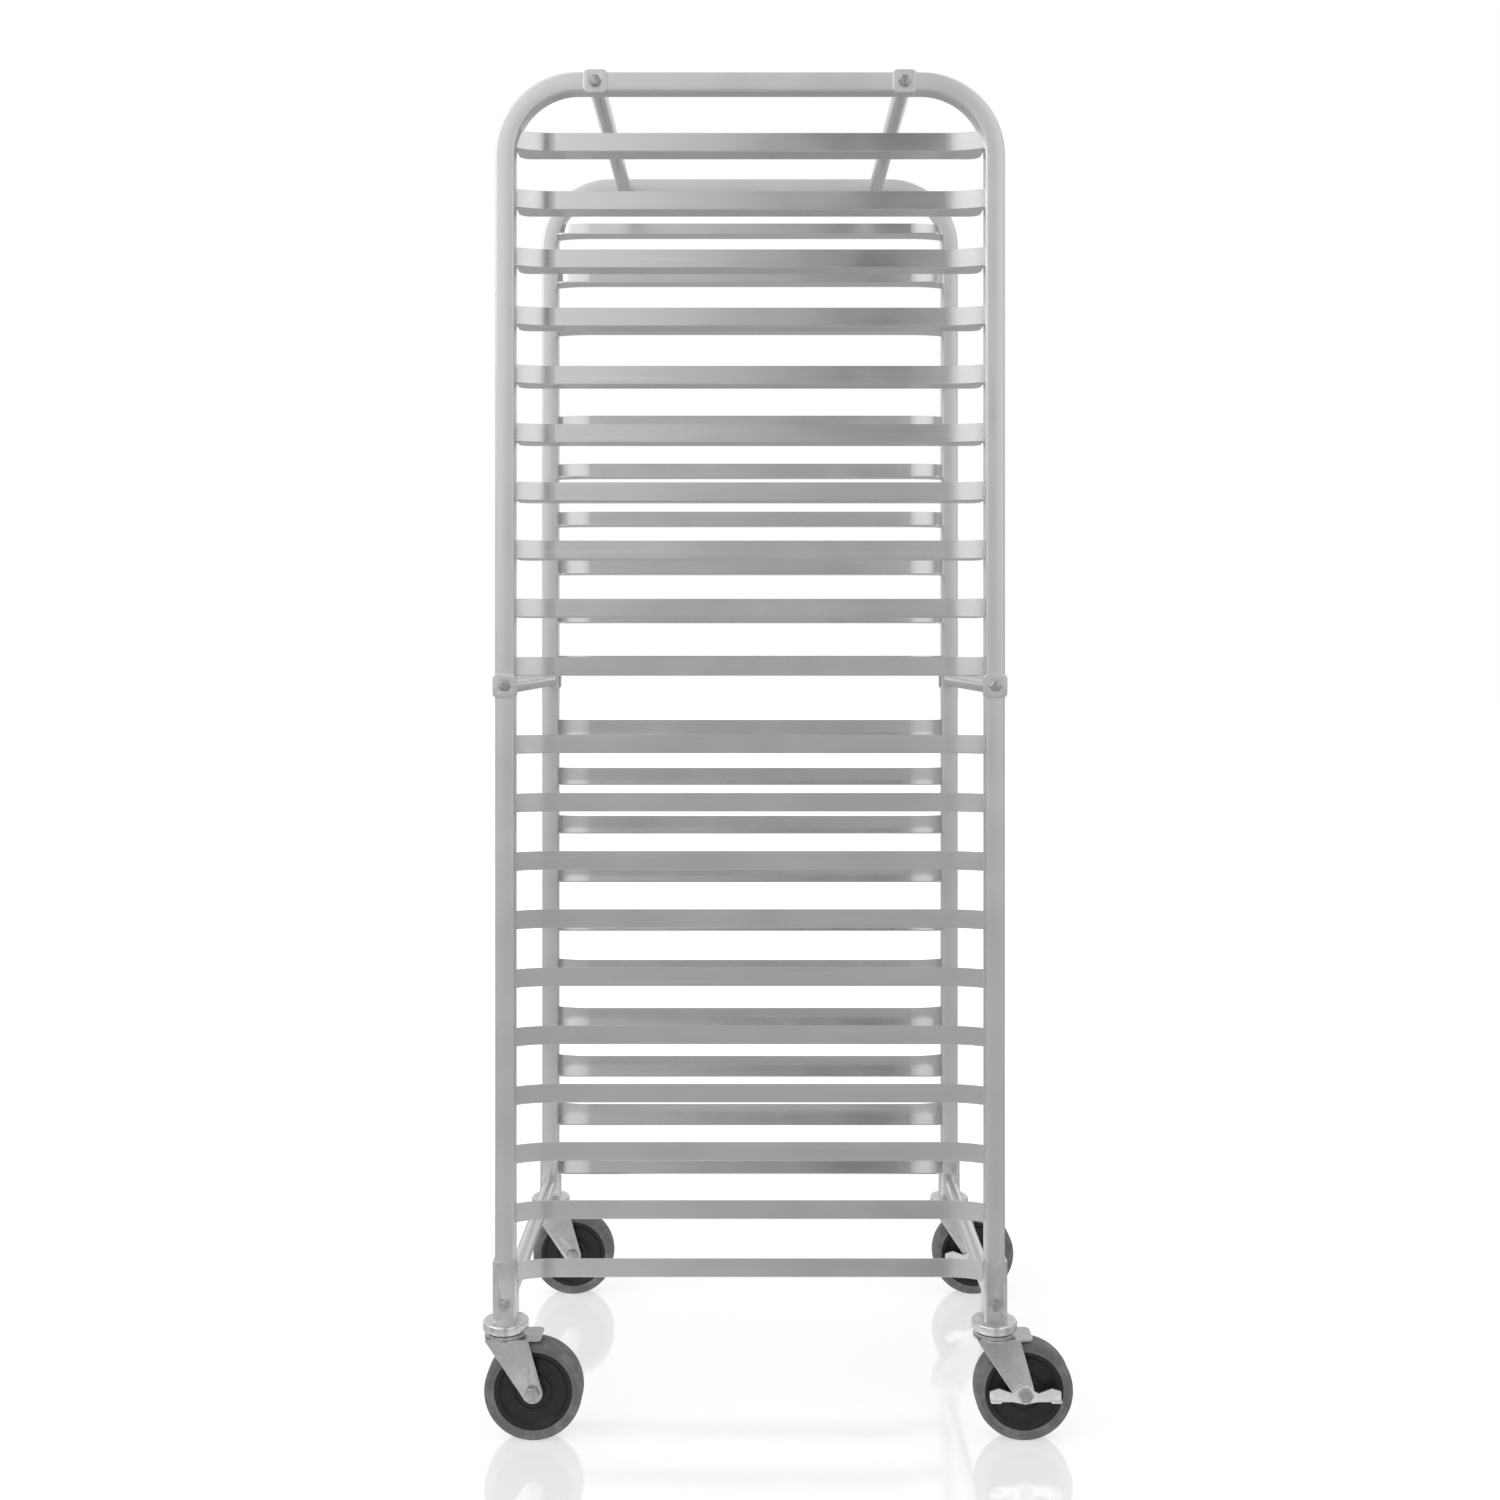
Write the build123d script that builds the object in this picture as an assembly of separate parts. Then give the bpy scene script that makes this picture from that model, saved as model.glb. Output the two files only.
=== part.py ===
from build123d import *

import os
from math import atan2, degrees, radians, sin

# A twenty-tier sheet pan rack: two bent square-tube side frames carry twenty pairs of angle
# runners, six round cross tubes hold the frames apart, and four swivel casters sit on the legs.
# X runs along the 26 in side, the way a pan slides in, Y across the rack, +Z up.
# The origin is on the floor under the middle of the frame. Sizes are in millimetres.

os.makedirs("parts", exist_ok=True)

# ---- overall sizes -------------------------------------------------------------------
rack_length = 660.4
rack_width = 514.4

# a cut this long goes right through any one piece, and reaches no other
through = 200.0

# ---- square tube of the side frames --------------------------------------------------
tube_side = 25.4
tube_wall = 1.6
tube_corner = 3.2
bend_radius = 95.0

# ---- runners, the angles that the pans slide on --------------------------------------
tiers_in_group = 10
tier_pitch = 76.2
group_gap = 101.6
tube_to_ledge = 14.8
top_space = 96.0
sheet = 1.6
web_height = 24.5
ledge_depth = 34.0
flare_run = 50.0
ledge_corner = 14.0
fold_radius = 1.4
ledge_cope = 3.0

# ---- cross tubes and their bolted ends -----------------------------------------------
cross_radius = 11.0
cross_wall = 1.5
cross_from_bend = 22.5
ledge_to_cross = 1.6
plug_length = 26.0
bolt_radius = 4.0
bolt_grip = 20.0
bolt_clearance = 0.3
head_flats = 13.0
head_height = 5.2
head_chamfer = 0.9

# ---- saddles under the bolt heads ----------------------------------------------------
saddle_sheet = 2.4
saddle_length = 31.0
saddle_flange = 9.0
saddle_corner = 6.0
saddle_chamfer = 0.8
slip = 0.15

# ---- leg sockets ---------------------------------------------------------------------
socket_wall = 2.6
socket_height = 79.0
socket_bolt_rise = 23.0
socket_floor = 3.0
socket_corner = 4.5
leg_gap = 0.5
notch_gap = 0.6

# ---- casters -------------------------------------------------------------------------
wheel_radius = 63.5
wheel_trail = 37.0
tread_width = 32.0
tread_inner = 50.5
tread_round = 5.0
hub_radius = 15.0
hub_width = 31.0
rim_wall = 5.0
core_width = 29.0
web_width = 20.0
spoke_round = 2.0
fork_sheet = 2.6
fork_gap = 36.6
fork_eye = 13.0
fork_front = 24.0
fork_back = 31.0
crown_radius = 27.5
crown_lip = 48.0
lip_round = 7.0
crown_clearance = 3.6
axle_radius = 5.0
axle_flats = 17.0
sleeve_radius = 7.5
turning_fit = 0.06
kingpin_radius = 6.0
kingpin_flange = 10.0
kingpin_head = 9.0
flange_thickness = 2.6
pin_chamfer = 0.8
running_gap = 0.6
ball_radius = 3.0
ball_ring = 18.6
ball_gap = 0.35
balls_in_race = 16
race_outer = 24.6
lower_race = 4.6
upper_race = 14.2
cup_sheet = 2.2
cup_skirt = 10.6
cup_round = 2.9

# ---- brake levers and the plates that they press on the hubs -------------------------
lever_sheet = 3.0
lever_gap = 0.4
lever_eye = 12.0
lever_reach = 46.0
lever_drop = 9.0
lever_round = 2.5
# the lever's edge from the middle out and back, as shares of its reach and its drop
lever_edge = ((0.36, 0.2), (0.74, 0.9), (1.0, 0.5), (1.0, -0.6), (0.74, -1.0), (0.36, -1.0))
pedal_length = 15.0
pedal_width = 13.0
pedal_round = 4.0
brake_plate_sheet = 1.2
brake_plate_radius = 13.5
plate_gap = 0.4
plate_teeth = 12
plate_notch = 2.0

# ---- worked out from the sizes above -------------------------------------------------
leg_x = (rack_length - tube_side) / 2
leg_y = (rack_width - tube_side) / 2
leg_inner_x = rack_length / 2 - tube_side
leg_inner_y = rack_width / 2 - tube_side
crown_under = 2 * wheel_radius + crown_clearance
crown_top = crown_under + fork_sheet
ball_height = crown_top + lower_race
socket_bottom = ball_height + upper_race
leg_foot = socket_bottom + socket_floor + leg_gap
bottom_cross_height = socket_bottom + socket_bolt_rise
lowest_ledge = bottom_cross_height + cross_radius + tube_to_ledge
upper_ledge = lowest_ledge + (tiers_in_group - 1) * tier_pitch + group_gap
highest_ledge = upper_ledge + (tiers_in_group - 1) * tier_pitch
middle_cross_height = upper_ledge - ledge_to_cross - cross_radius
rail_top = highest_ledge + top_space
rail_height = rail_top - tube_side / 2
top_cross_x = leg_x - bend_radius - cross_from_bend
socket_half = tube_side / 2 + slip + socket_wall
flare_reach = tube_side / 2
flare_angle = 2 * degrees(atan2(flare_reach, flare_run))
flare_radius = flare_run / sin(radians(flare_angle))
flare_start = leg_inner_x - flare_run
fork_half = fork_gap / 2
caster_places = {
    "near_left": (-leg_x, -leg_y),
    "near_right": (leg_x, -leg_y),
    "far_left": (-leg_x, leg_y),
    "far_right": (leg_x, leg_y),
}
braked_casters = ("near_right", "far_right")


def outward(x, y, z, side):
    """A place whose own +Z points out of the rack's near (-1) or far (+1) side."""
    return Location((x, y, z), (-90 * side, 0, 0))


def upright(y=0.0):
    """A plane whose sketch lies in X and Z, at the given Y."""
    return Plane((0, y, 0), x_dir=(1, 0, 0), z_dir=(0, -1, 0))


def joint_places(rows):
    """Each bolted tube end as x, z and side, for rows of (x, z) pairs on both sides."""
    return [(x, z, side) for x, z in rows for side in (-1, 1)]


top_joints = joint_places([(-top_cross_x, rail_height), (top_cross_x, rail_height)])
middle_joints = joint_places([(-leg_x, middle_cross_height), (leg_x, middle_cross_height)])
bottom_joints = joint_places([(-leg_x, bottom_cross_height), (leg_x, bottom_cross_height)])


def save(name, shape):
    """Write one node's solids to its STEP file."""
    shape.label = name
    export_step(shape, f"parts/{name}.step")


def group(solids):
    """Several loose pieces that share a node."""
    return Compound(children=[piece for piece in solids])


# ---- side frames ---------------------------------------------------------------------
def bolt_hole(x, z, side):
    """A through hole across the tube for one frame bolt."""
    hole = Cylinder(bolt_radius + bolt_clearance, through)
    return outward(x, side * leg_y, z, side) * hole


def bent_tube(side, section):
    """A section carried up one leg, round the corner, along the rail and down again."""
    path = FilletPolyline(
        (-leg_x, side * leg_y, leg_foot),
        (-leg_x, side * leg_y, rail_height),
        (leg_x, side * leg_y, rail_height),
        (leg_x, side * leg_y, leg_foot),
        radius=bend_radius,
    )
    return sweep(Plane((-leg_x, side * leg_y, leg_foot)) * section, path)


def side_frame(side):
    """One side frame's bent tube, with a hole for each bolt."""
    bore_side = tube_side - 2 * tube_wall
    section = RectangleRounded(tube_side, tube_side, tube_corner)
    section -= RectangleRounded(bore_side, bore_side, tube_corner - tube_wall)
    frame = bent_tube(side, section)
    for x, z, joint_side in top_joints + middle_joints + bottom_joints:
        if joint_side == side:
            frame -= bolt_hole(x, z, side)
    return frame


# ---- runners -------------------------------------------------------------------------
def flare_circles(radius):
    """The two circles that the runner's ends follow where they curve out to the legs."""
    centre_y = leg_inner_y + flare_radius
    return [Pos(x, centre_y) * Circle(radius) for x in (-flare_start, flare_start)]


def runner_plan(ledge_edge, offset):
    """The plan of a strip between ledge_edge and the curved outer line set in by offset."""
    outer_line = leg_inner_y - offset
    far_edge = leg_inner_y + flare_reach + sheet
    plan = Pos(0, (ledge_edge + far_edge) / 2) * Rectangle(2 * leg_inner_x, far_edge - ledge_edge)
    middle = Pos(0, (outer_line + far_edge) / 2) * Rectangle(2 * flare_start, far_edge - outer_line)
    plan -= middle
    for circle in flare_circles(flare_radius + offset):
        plan -= circle
    return plan


def runner(ledge_height):
    """The far side's angle runner: upright web, ledge at its foot, both ends flared.

    Where the leg bends away above it, its ends are coped to the bend, and its ledge a little
    further back, so that nothing hangs over what lies on it.
    """
    edge_y = leg_inner_y - ledge_depth
    ledge = runner_plan(edge_y, 0)
    inner_corners = ledge.vertices().group_by(Axis.Y)[0]
    ledge = fillet(inner_corners, ledge_corner)
    web = runner_plan(edge_y, 0) - runner_plan(edge_y, sheet)
    angle = extrude(ledge, sheet) + extrude(web, web_height)
    foot_edges = angle.faces().sort_by(Axis.Z)[0].edges().filter_by_position(
        Axis.Y, leg_inner_y - fold_radius, leg_inner_y + flare_reach
    )
    angle = fillet(foot_edges.sort_by(Edge.length)[-3:], fold_radius)
    angle = Pos(0, 0, ledge_height) * angle
    if ledge_height + web_height > rail_height - bend_radius:
        bend = bent_tube(1, Rectangle(tube_side, tube_side))
        foot = Pos(0, leg_y, ledge_height + sheet / 2) * Box(rack_length, tube_side + 2 * sheet, sheet)
        angle -= bend
        angle -= Pos(0, 0, -ledge_cope) * bend & foot
    return angle


def ledge_heights():
    """The underside of each tier's ledge, from the floor up."""
    lower = [lowest_ledge + tier_pitch * k for k in range(tiers_in_group)]
    upper = [upper_ledge + tier_pitch * k for k in range(tiers_in_group)]
    return lower + upper


# ---- cross tubes, plugs, saddles and bolts -------------------------------------------
def cross_tube(x, z, end_y):
    """A round tube across the rack, from -end_y to +end_y."""
    tube = Cylinder(cross_radius, 2 * end_y) - Cylinder(cross_radius - cross_wall, 2 * end_y)
    return Location((x, 0, z), (90, 0, 0)) * tube


def end_plug(x, z, side, end_y):
    """A threaded plug pressed into the end of a cross tube."""
    plug = Cylinder(cross_radius - cross_wall, plug_length, align=(Align.CENTER, Align.CENTER, Align.MAX))
    plug -= Cylinder(bolt_radius, through)
    return outward(x, side * end_y, z, side) * plug


def saddle(x, z, side, across_x):
    """A pressed channel that hugs the tube's outer face; across_x is for a leg."""
    width = tube_side + 2 * (slip + saddle_sheet)
    depth = saddle_flange + saddle_sheet
    block = Box(saddle_length, width, depth, align=(Align.CENTER, Align.CENTER, Align.MAX))
    block = fillet(block.edges().filter_by(Axis.Z), saddle_corner)
    block = chamfer(block.faces().sort_by(Axis.Z)[-1].edges(), saddle_chamfer)
    cavity = Box(
        2 * saddle_length,
        tube_side + 2 * slip,
        saddle_flange,
        align=(Align.CENTER, Align.CENTER, Align.MAX),
    )
    block -= Pos(0, 0, -saddle_sheet) * cavity
    block -= Cylinder(bolt_radius + bolt_clearance, through)
    turn = Rot(0, 0, 90) if across_x else Rot(0, 0, 0)
    return outward(x, side * (rack_width / 2 + saddle_sheet), z, side) * turn * block


def hex_bolt(x, z, side, seat_y, tip_y):
    """A hexagon bolt whose head sits at seat_y and whose tip reaches tip_y."""
    head = extrude(RegularPolygon(head_flats / 2, 6, major_radius=False), head_height)
    head = chamfer(head.faces().sort_by(Axis.Z)[-1].edges(), head_chamfer)
    shank = Cylinder(bolt_radius, seat_y - tip_y, align=(Align.CENTER, Align.CENTER, Align.MAX))
    return outward(x, side * seat_y, z, side) * (head + shank)


# ---- leg sockets ---------------------------------------------------------------------
def leg_socket(cx, cy):
    """A plated square cup on the foot of one leg, notched for the lowest runner."""
    base = (Align.CENTER, Align.CENTER, Align.MIN)
    block = Box(2 * socket_half, 2 * socket_half, socket_height, align=base)
    block = fillet(block.edges().filter_by(Axis.Z), socket_corner)
    inner = tube_side + 2 * slip
    cavity = extrude(RectangleRounded(inner, inner, tube_corner), socket_height)
    block -= Pos(0, 0, socket_floor) * cavity
    block -= Cylinder(kingpin_radius, through)
    side_x = -1 if cx > 0 else 1
    side_y = -1 if cy > 0 else 1
    notch_foot = lowest_ledge - notch_gap - socket_bottom
    notch_depth = socket_wall + slip + notch_gap
    notch_width = socket_half + sheet + notch_gap
    notch = Box(notch_depth, notch_width, socket_height, align=base)
    notch_x = side_x * (socket_half + notch_gap - notch_depth / 2)
    notch_y = side_y * (socket_half - notch_width / 2)
    block -= Pos(notch_x, notch_y, notch_foot) * notch
    bolt = Location((0, 0, socket_bolt_rise), (90, 0, 0))
    block -= bolt * Cylinder(bolt_radius + bolt_clearance, through)
    return Pos(cx, cy, socket_bottom) * block


# ---- swivel bearings -----------------------------------------------------------------
def swivel_cup(cx, cy):
    """The fixed upper race, a dished cup under the socket that rides on the balls."""
    top = socket_bottom
    cup = Pos(0, 0, top) * Cylinder(
        crown_radius + cup_sheet, cup_skirt, align=(Align.CENTER, Align.CENTER, Align.MAX)
    )
    cup = fillet(cup.edges().sort_by(Axis.Z)[-1], cup_round)
    mouth = Cylinder(
        crown_radius, cup_skirt, align=(Align.CENTER, Align.CENTER, Align.MAX)
    )
    cup -= Pos(0, 0, top - cup_sheet) * mouth
    ring_height = top - ball_height - running_gap
    ring = Cylinder(race_outer, ring_height, align=(Align.CENTER, Align.CENTER, Align.MAX))
    cup += Pos(0, 0, top) * ring
    cup -= Pos(0, 0, ball_height) * Torus(ball_ring, ball_radius)
    cup -= Pos(0, 0, top) * Cylinder(kingpin_radius, through)
    return Pos(cx, cy, 0) * cup


def kingpin(cx, cy):
    """The riveted pin that holds a fork up: head in the socket, flange under the crown."""
    head_seat = socket_bottom + socket_floor
    flange_top = crown_under - running_gap
    low = (Align.CENTER, Align.CENTER, Align.MIN)
    high = (Align.CENTER, Align.CENTER, Align.MAX)
    pin = Pos(0, 0, flange_top) * Cylinder(kingpin_radius, head_seat - flange_top, align=low)
    head = Cylinder(kingpin_head, flange_thickness, align=low)
    pin += Pos(0, 0, head_seat) * chamfer(head.edges().sort_by(Axis.Z)[-1], pin_chamfer)
    flange = Cylinder(kingpin_flange, flange_thickness, align=high)
    pin += Pos(0, 0, flange_top) * chamfer(flange.edges().sort_by(Axis.Z)[0], pin_chamfer)
    return Pos(cx, cy, 0) * pin


def race_balls(cx, cy):
    """The ring of bearing balls between the cup and the fork."""
    places = PolarLocations(ball_ring, balls_in_race)
    return [Pos(cx, cy, ball_height) * place * Sphere(ball_radius) for place in places]


# ---- forks ---------------------------------------------------------------------------
def fork_cheek(y):
    """One leg of the fork, from the crown down and back to the eye round the axle."""
    eye = Pos(wheel_trail, wheel_radius) * Circle(fork_eye)
    shoulder_x = (fork_back - fork_front) / 2
    shoulder = Pos(shoulder_x, crown_under + fork_sheet / 2)
    shoulder = shoulder * Rectangle(fork_front + fork_back, fork_sheet)
    outline = make_hull((eye + shoulder).edges())
    return extrude(upright(y) * outline, fork_sheet / 2, both=True)


def fork():
    """A pressed steel fork about its own swivel axis: crown, lower race and two cheeks."""
    low = (Align.CENTER, Align.CENTER, Align.MIN)
    outer_half = fork_half + fork_sheet
    plan = Circle(crown_radius)
    lip = Rectangle(fork_front + crown_lip, 2 * outer_half)
    lip = fillet(lip.vertices().group_by(Axis.X)[-1], lip_round)
    plan += Pos((crown_lip - fork_front) / 2, 0) * lip
    body = Pos(0, 0, crown_under) * extrude(plan, fork_sheet)
    for side in (-1, 1):
        body += fork_cheek(side * (fork_half + fork_sheet / 2))
    ring_height = lower_race - running_gap
    body += Pos(0, 0, crown_top) * Cylinder(race_outer, ring_height, align=low)
    body -= Pos(0, 0, ball_height) * Torus(ball_ring, ball_radius + ball_gap)
    body -= Pos(0, 0, ball_height) * Cylinder(kingpin_radius + turning_fit, through)
    body -= Location((wheel_trail, 0, wheel_radius), (90, 0, 0)) * Cylinder(axle_radius, through)
    return body


# ---- wheels, about their own axle along Z --------------------------------------------
def wheel_core():
    """Black moulded core: hub, recessed web and rim under the tread."""
    rim = Cylinder(tread_inner, core_width) - Cylinder(tread_inner - rim_wall, core_width)
    web = Cylinder(tread_inner - rim_wall / 2, web_width)
    core = Cylinder(hub_radius, hub_width) + web + rim
    inner_edges = [
        edge
        for edge in core.edges().filter_by(GeomType.CIRCLE)
        if abs(abs(edge.center().Z) - web_width / 2) < 0.01
    ]
    core = fillet(inner_edges, spoke_round)
    return core - Cylinder(sleeve_radius + turning_fit, through)


def tyre():
    """Grey non-marking tread with rounded shoulders."""
    tread = Cylinder(wheel_radius, tread_width)
    tread = fillet(tread.edges().filter_by(GeomType.CIRCLE), tread_round)
    return tread - Cylinder(tread_inner, through)


def axle(braked):
    """Axle bolt, nut and spanner sleeve, with the head towards local +Z."""
    outer_half = fork_half + fork_sheet
    lever_room = lever_sheet + 2 * lever_gap if braked else 0
    seat = outer_half + lever_room
    low = (Align.CENTER, Align.CENTER, Align.MIN)
    flats = RegularPolygon(axle_flats / 2, 6, major_radius=False)
    head = Pos(0, 0, seat) * extrude(flats, head_height)
    head = chamfer(head.faces().sort_by(Axis.Z)[-1].edges(), head_chamfer)
    tip = outer_half + head_height + axle_radius / 2
    shank = Pos(0, 0, -tip) * Cylinder(axle_radius, seat + tip, align=low)
    nut = Pos(0, 0, -outer_half - head_height) * extrude(flats, head_height)
    nut = chamfer(nut.faces().sort_by(Axis.Z)[0].edges(), head_chamfer)
    nut -= Cylinder(axle_radius, through)
    sleeve = Cylinder(sleeve_radius, fork_gap) - Cylinder(axle_radius, fork_gap)
    return [head + shank, nut, sleeve]


# ---- brakes --------------------------------------------------------------------------
def brake_lever():
    """A two-armed foot lever that rocks on the axle bolt, outside the fork."""
    edge = [(lever_reach * out, lever_drop * up) for out, up in lever_edge]
    half_outline = [(0, lever_eye), *edge, (0, -lever_eye)]
    other_half = [(-x, z) for x, z in reversed(edge)]
    plate = Polygon(*half_outline, *other_half, align=None)
    plate = fillet(plate.vertices().filter_by(lambda v: abs(v.X) > lever_round), lever_round)
    plate += Circle(lever_eye)
    inner_face = -(fork_half + fork_sheet + lever_gap)
    lever = extrude(upright(inner_face) * plate, lever_sheet, dir=(0, -1, 0))
    for side in (-1, 1):
        pedal = Box(
            pedal_length, pedal_width, lever_sheet, align=(Align.CENTER, Align.MAX, Align.CENTER)
        )
        pedal = fillet(pedal.edges().filter_by(Axis.Z).group_by(Axis.Y)[0], pedal_round)
        pedal_x = side * (lever_reach - pedal_length / 2)
        lever += Pos(pedal_x, inner_face - lever_sheet / 2, -lever_drop / 2) * pedal
    return lever - Rot(90, 0, 0) * Cylinder(axle_radius + turning_fit, through)


def brake_plate():
    """A thin toothed washer between the fork and the hub, pushed against the hub."""
    plate = Cylinder(brake_plate_radius, brake_plate_sheet)
    notch = Pos(brake_plate_radius, 0, 0) * Box(plate_notch, plate_notch, 2 * brake_plate_sheet)
    for place in PolarLocations(0, plate_teeth):
        plate -= place * notch
    plate -= Cylinder(sleeve_radius + turning_fit, through)
    place_y = -(fork_half - plate_gap - brake_plate_sheet / 2)
    return Pos(0, place_y, 0) * Rot(90, 0, 0) * plate


# ---- the whole rack ------------------------------------------------------------------
save("side_frame_near", side_frame(-1))
save("side_frame_far", side_frame(1))

for tier, ledge_height in enumerate(ledge_heights(), start=1):
    far_runner = runner(ledge_height)
    save(f"runners_tier_{tier:02d}", group([far_runner, mirror(far_runner, Plane.XZ)]))

socket_face_y = leg_y - socket_half
cross_rows = [
    ("top", top_cross_x, rail_height, leg_inner_y),
    ("middle", leg_x, middle_cross_height, leg_inner_y),
    ("bottom", leg_x, bottom_cross_height, socket_face_y),
]
plugs = []
for row, x, z, end_y in cross_rows:
    save(f"cross_tube_{row}_left", cross_tube(-x, z, end_y))
    save(f"cross_tube_{row}_right", cross_tube(x, z, end_y))
    plugs += [end_plug(px, z, side, end_y) for px in (-x, x) for side in (-1, 1)]
save("cross_tube_plugs", group(plugs))

saddles = [saddle(x, z, side, False) for x, z, side in top_joints]
saddles += [saddle(x, z, side, True) for x, z, side in middle_joints]
save("frame_saddles", group(saddles))

saddle_seat = rack_width / 2 + saddle_sheet
frame_bolts = [
    hex_bolt(x, z, side, saddle_seat, leg_inner_y - bolt_grip)
    for x, z, side in top_joints + middle_joints
]
save("frame_bolts", group(frame_bolts))
socket_bolts = [
    hex_bolt(x, z, side, leg_y + socket_half, socket_face_y - bolt_grip)
    for x, z, side in bottom_joints
]
save("socket_bolts", group(socket_bolts))

places = caster_places.values()
save("swivel_cups", group([swivel_cup(cx, cy) for cx, cy in places]))
save("kingpins", group([kingpin(cx, cy) for cx, cy in places]))
save("swivel_balls", group([ball for cx, cy in places for ball in race_balls(cx, cy)]))

for name, (cx, cy) in caster_places.items():
    braked = name in braked_casters
    hub = Pos(cx + wheel_trail, cy, wheel_radius)
    along_y = hub * Rot(90, 0, 0)
    save(f"leg_socket_{name}", leg_socket(cx, cy))
    save(f"fork_{name}", Pos(cx, cy, 0) * fork())
    save(f"axle_{name}", group([along_y * piece for piece in axle(braked)]))
    save(f"wheel_core_{name}", along_y * wheel_core())
    save(f"tyre_{name}", along_y * tyre())
    if braked:
        save(f"brake_lever_{name}", hub * brake_lever())
        save(f"brake_plate_{name}", hub * brake_plate())
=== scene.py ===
"""The looks of a twenty-tier sheet pan rack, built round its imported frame.

Everything is in metres in the frame's own axes: X along the pans' travel, Y across the rack,
Z up, with the floor at zero.
"""

import logging
import math
from dataclasses import dataclass
from enum import Enum
from typing import Callable, Iterable, Sequence

import bpy
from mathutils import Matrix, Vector


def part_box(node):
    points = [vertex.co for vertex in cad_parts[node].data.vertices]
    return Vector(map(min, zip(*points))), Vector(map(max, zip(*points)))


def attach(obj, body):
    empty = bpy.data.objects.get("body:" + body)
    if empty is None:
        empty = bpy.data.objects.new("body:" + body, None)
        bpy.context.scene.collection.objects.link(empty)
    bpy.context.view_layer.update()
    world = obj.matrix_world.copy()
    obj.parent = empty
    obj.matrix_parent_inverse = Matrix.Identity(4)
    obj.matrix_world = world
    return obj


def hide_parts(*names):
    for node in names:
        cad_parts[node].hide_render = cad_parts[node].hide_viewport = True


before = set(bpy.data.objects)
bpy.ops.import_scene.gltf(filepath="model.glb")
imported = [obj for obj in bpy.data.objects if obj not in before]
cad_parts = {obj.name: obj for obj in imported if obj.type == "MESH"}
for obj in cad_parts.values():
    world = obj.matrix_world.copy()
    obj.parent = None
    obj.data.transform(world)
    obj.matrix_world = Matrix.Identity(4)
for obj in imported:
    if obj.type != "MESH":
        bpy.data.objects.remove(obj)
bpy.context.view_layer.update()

MERGE = 1e-5
FLAT = math.radians(0.8)
LOG = logging.getLogger("rack")

Point = tuple[float, float, float]
Colour = tuple[float, float, float]
EVEN = (1.0, 1.0, 1.0)
Ring = tuple[float, float]
Span = tuple[float, float]


class Space(Enum):
    """Where a finish reads its pattern's coordinates from."""

    OBJECT = "Object"
    GRAIN = "grain"


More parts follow.
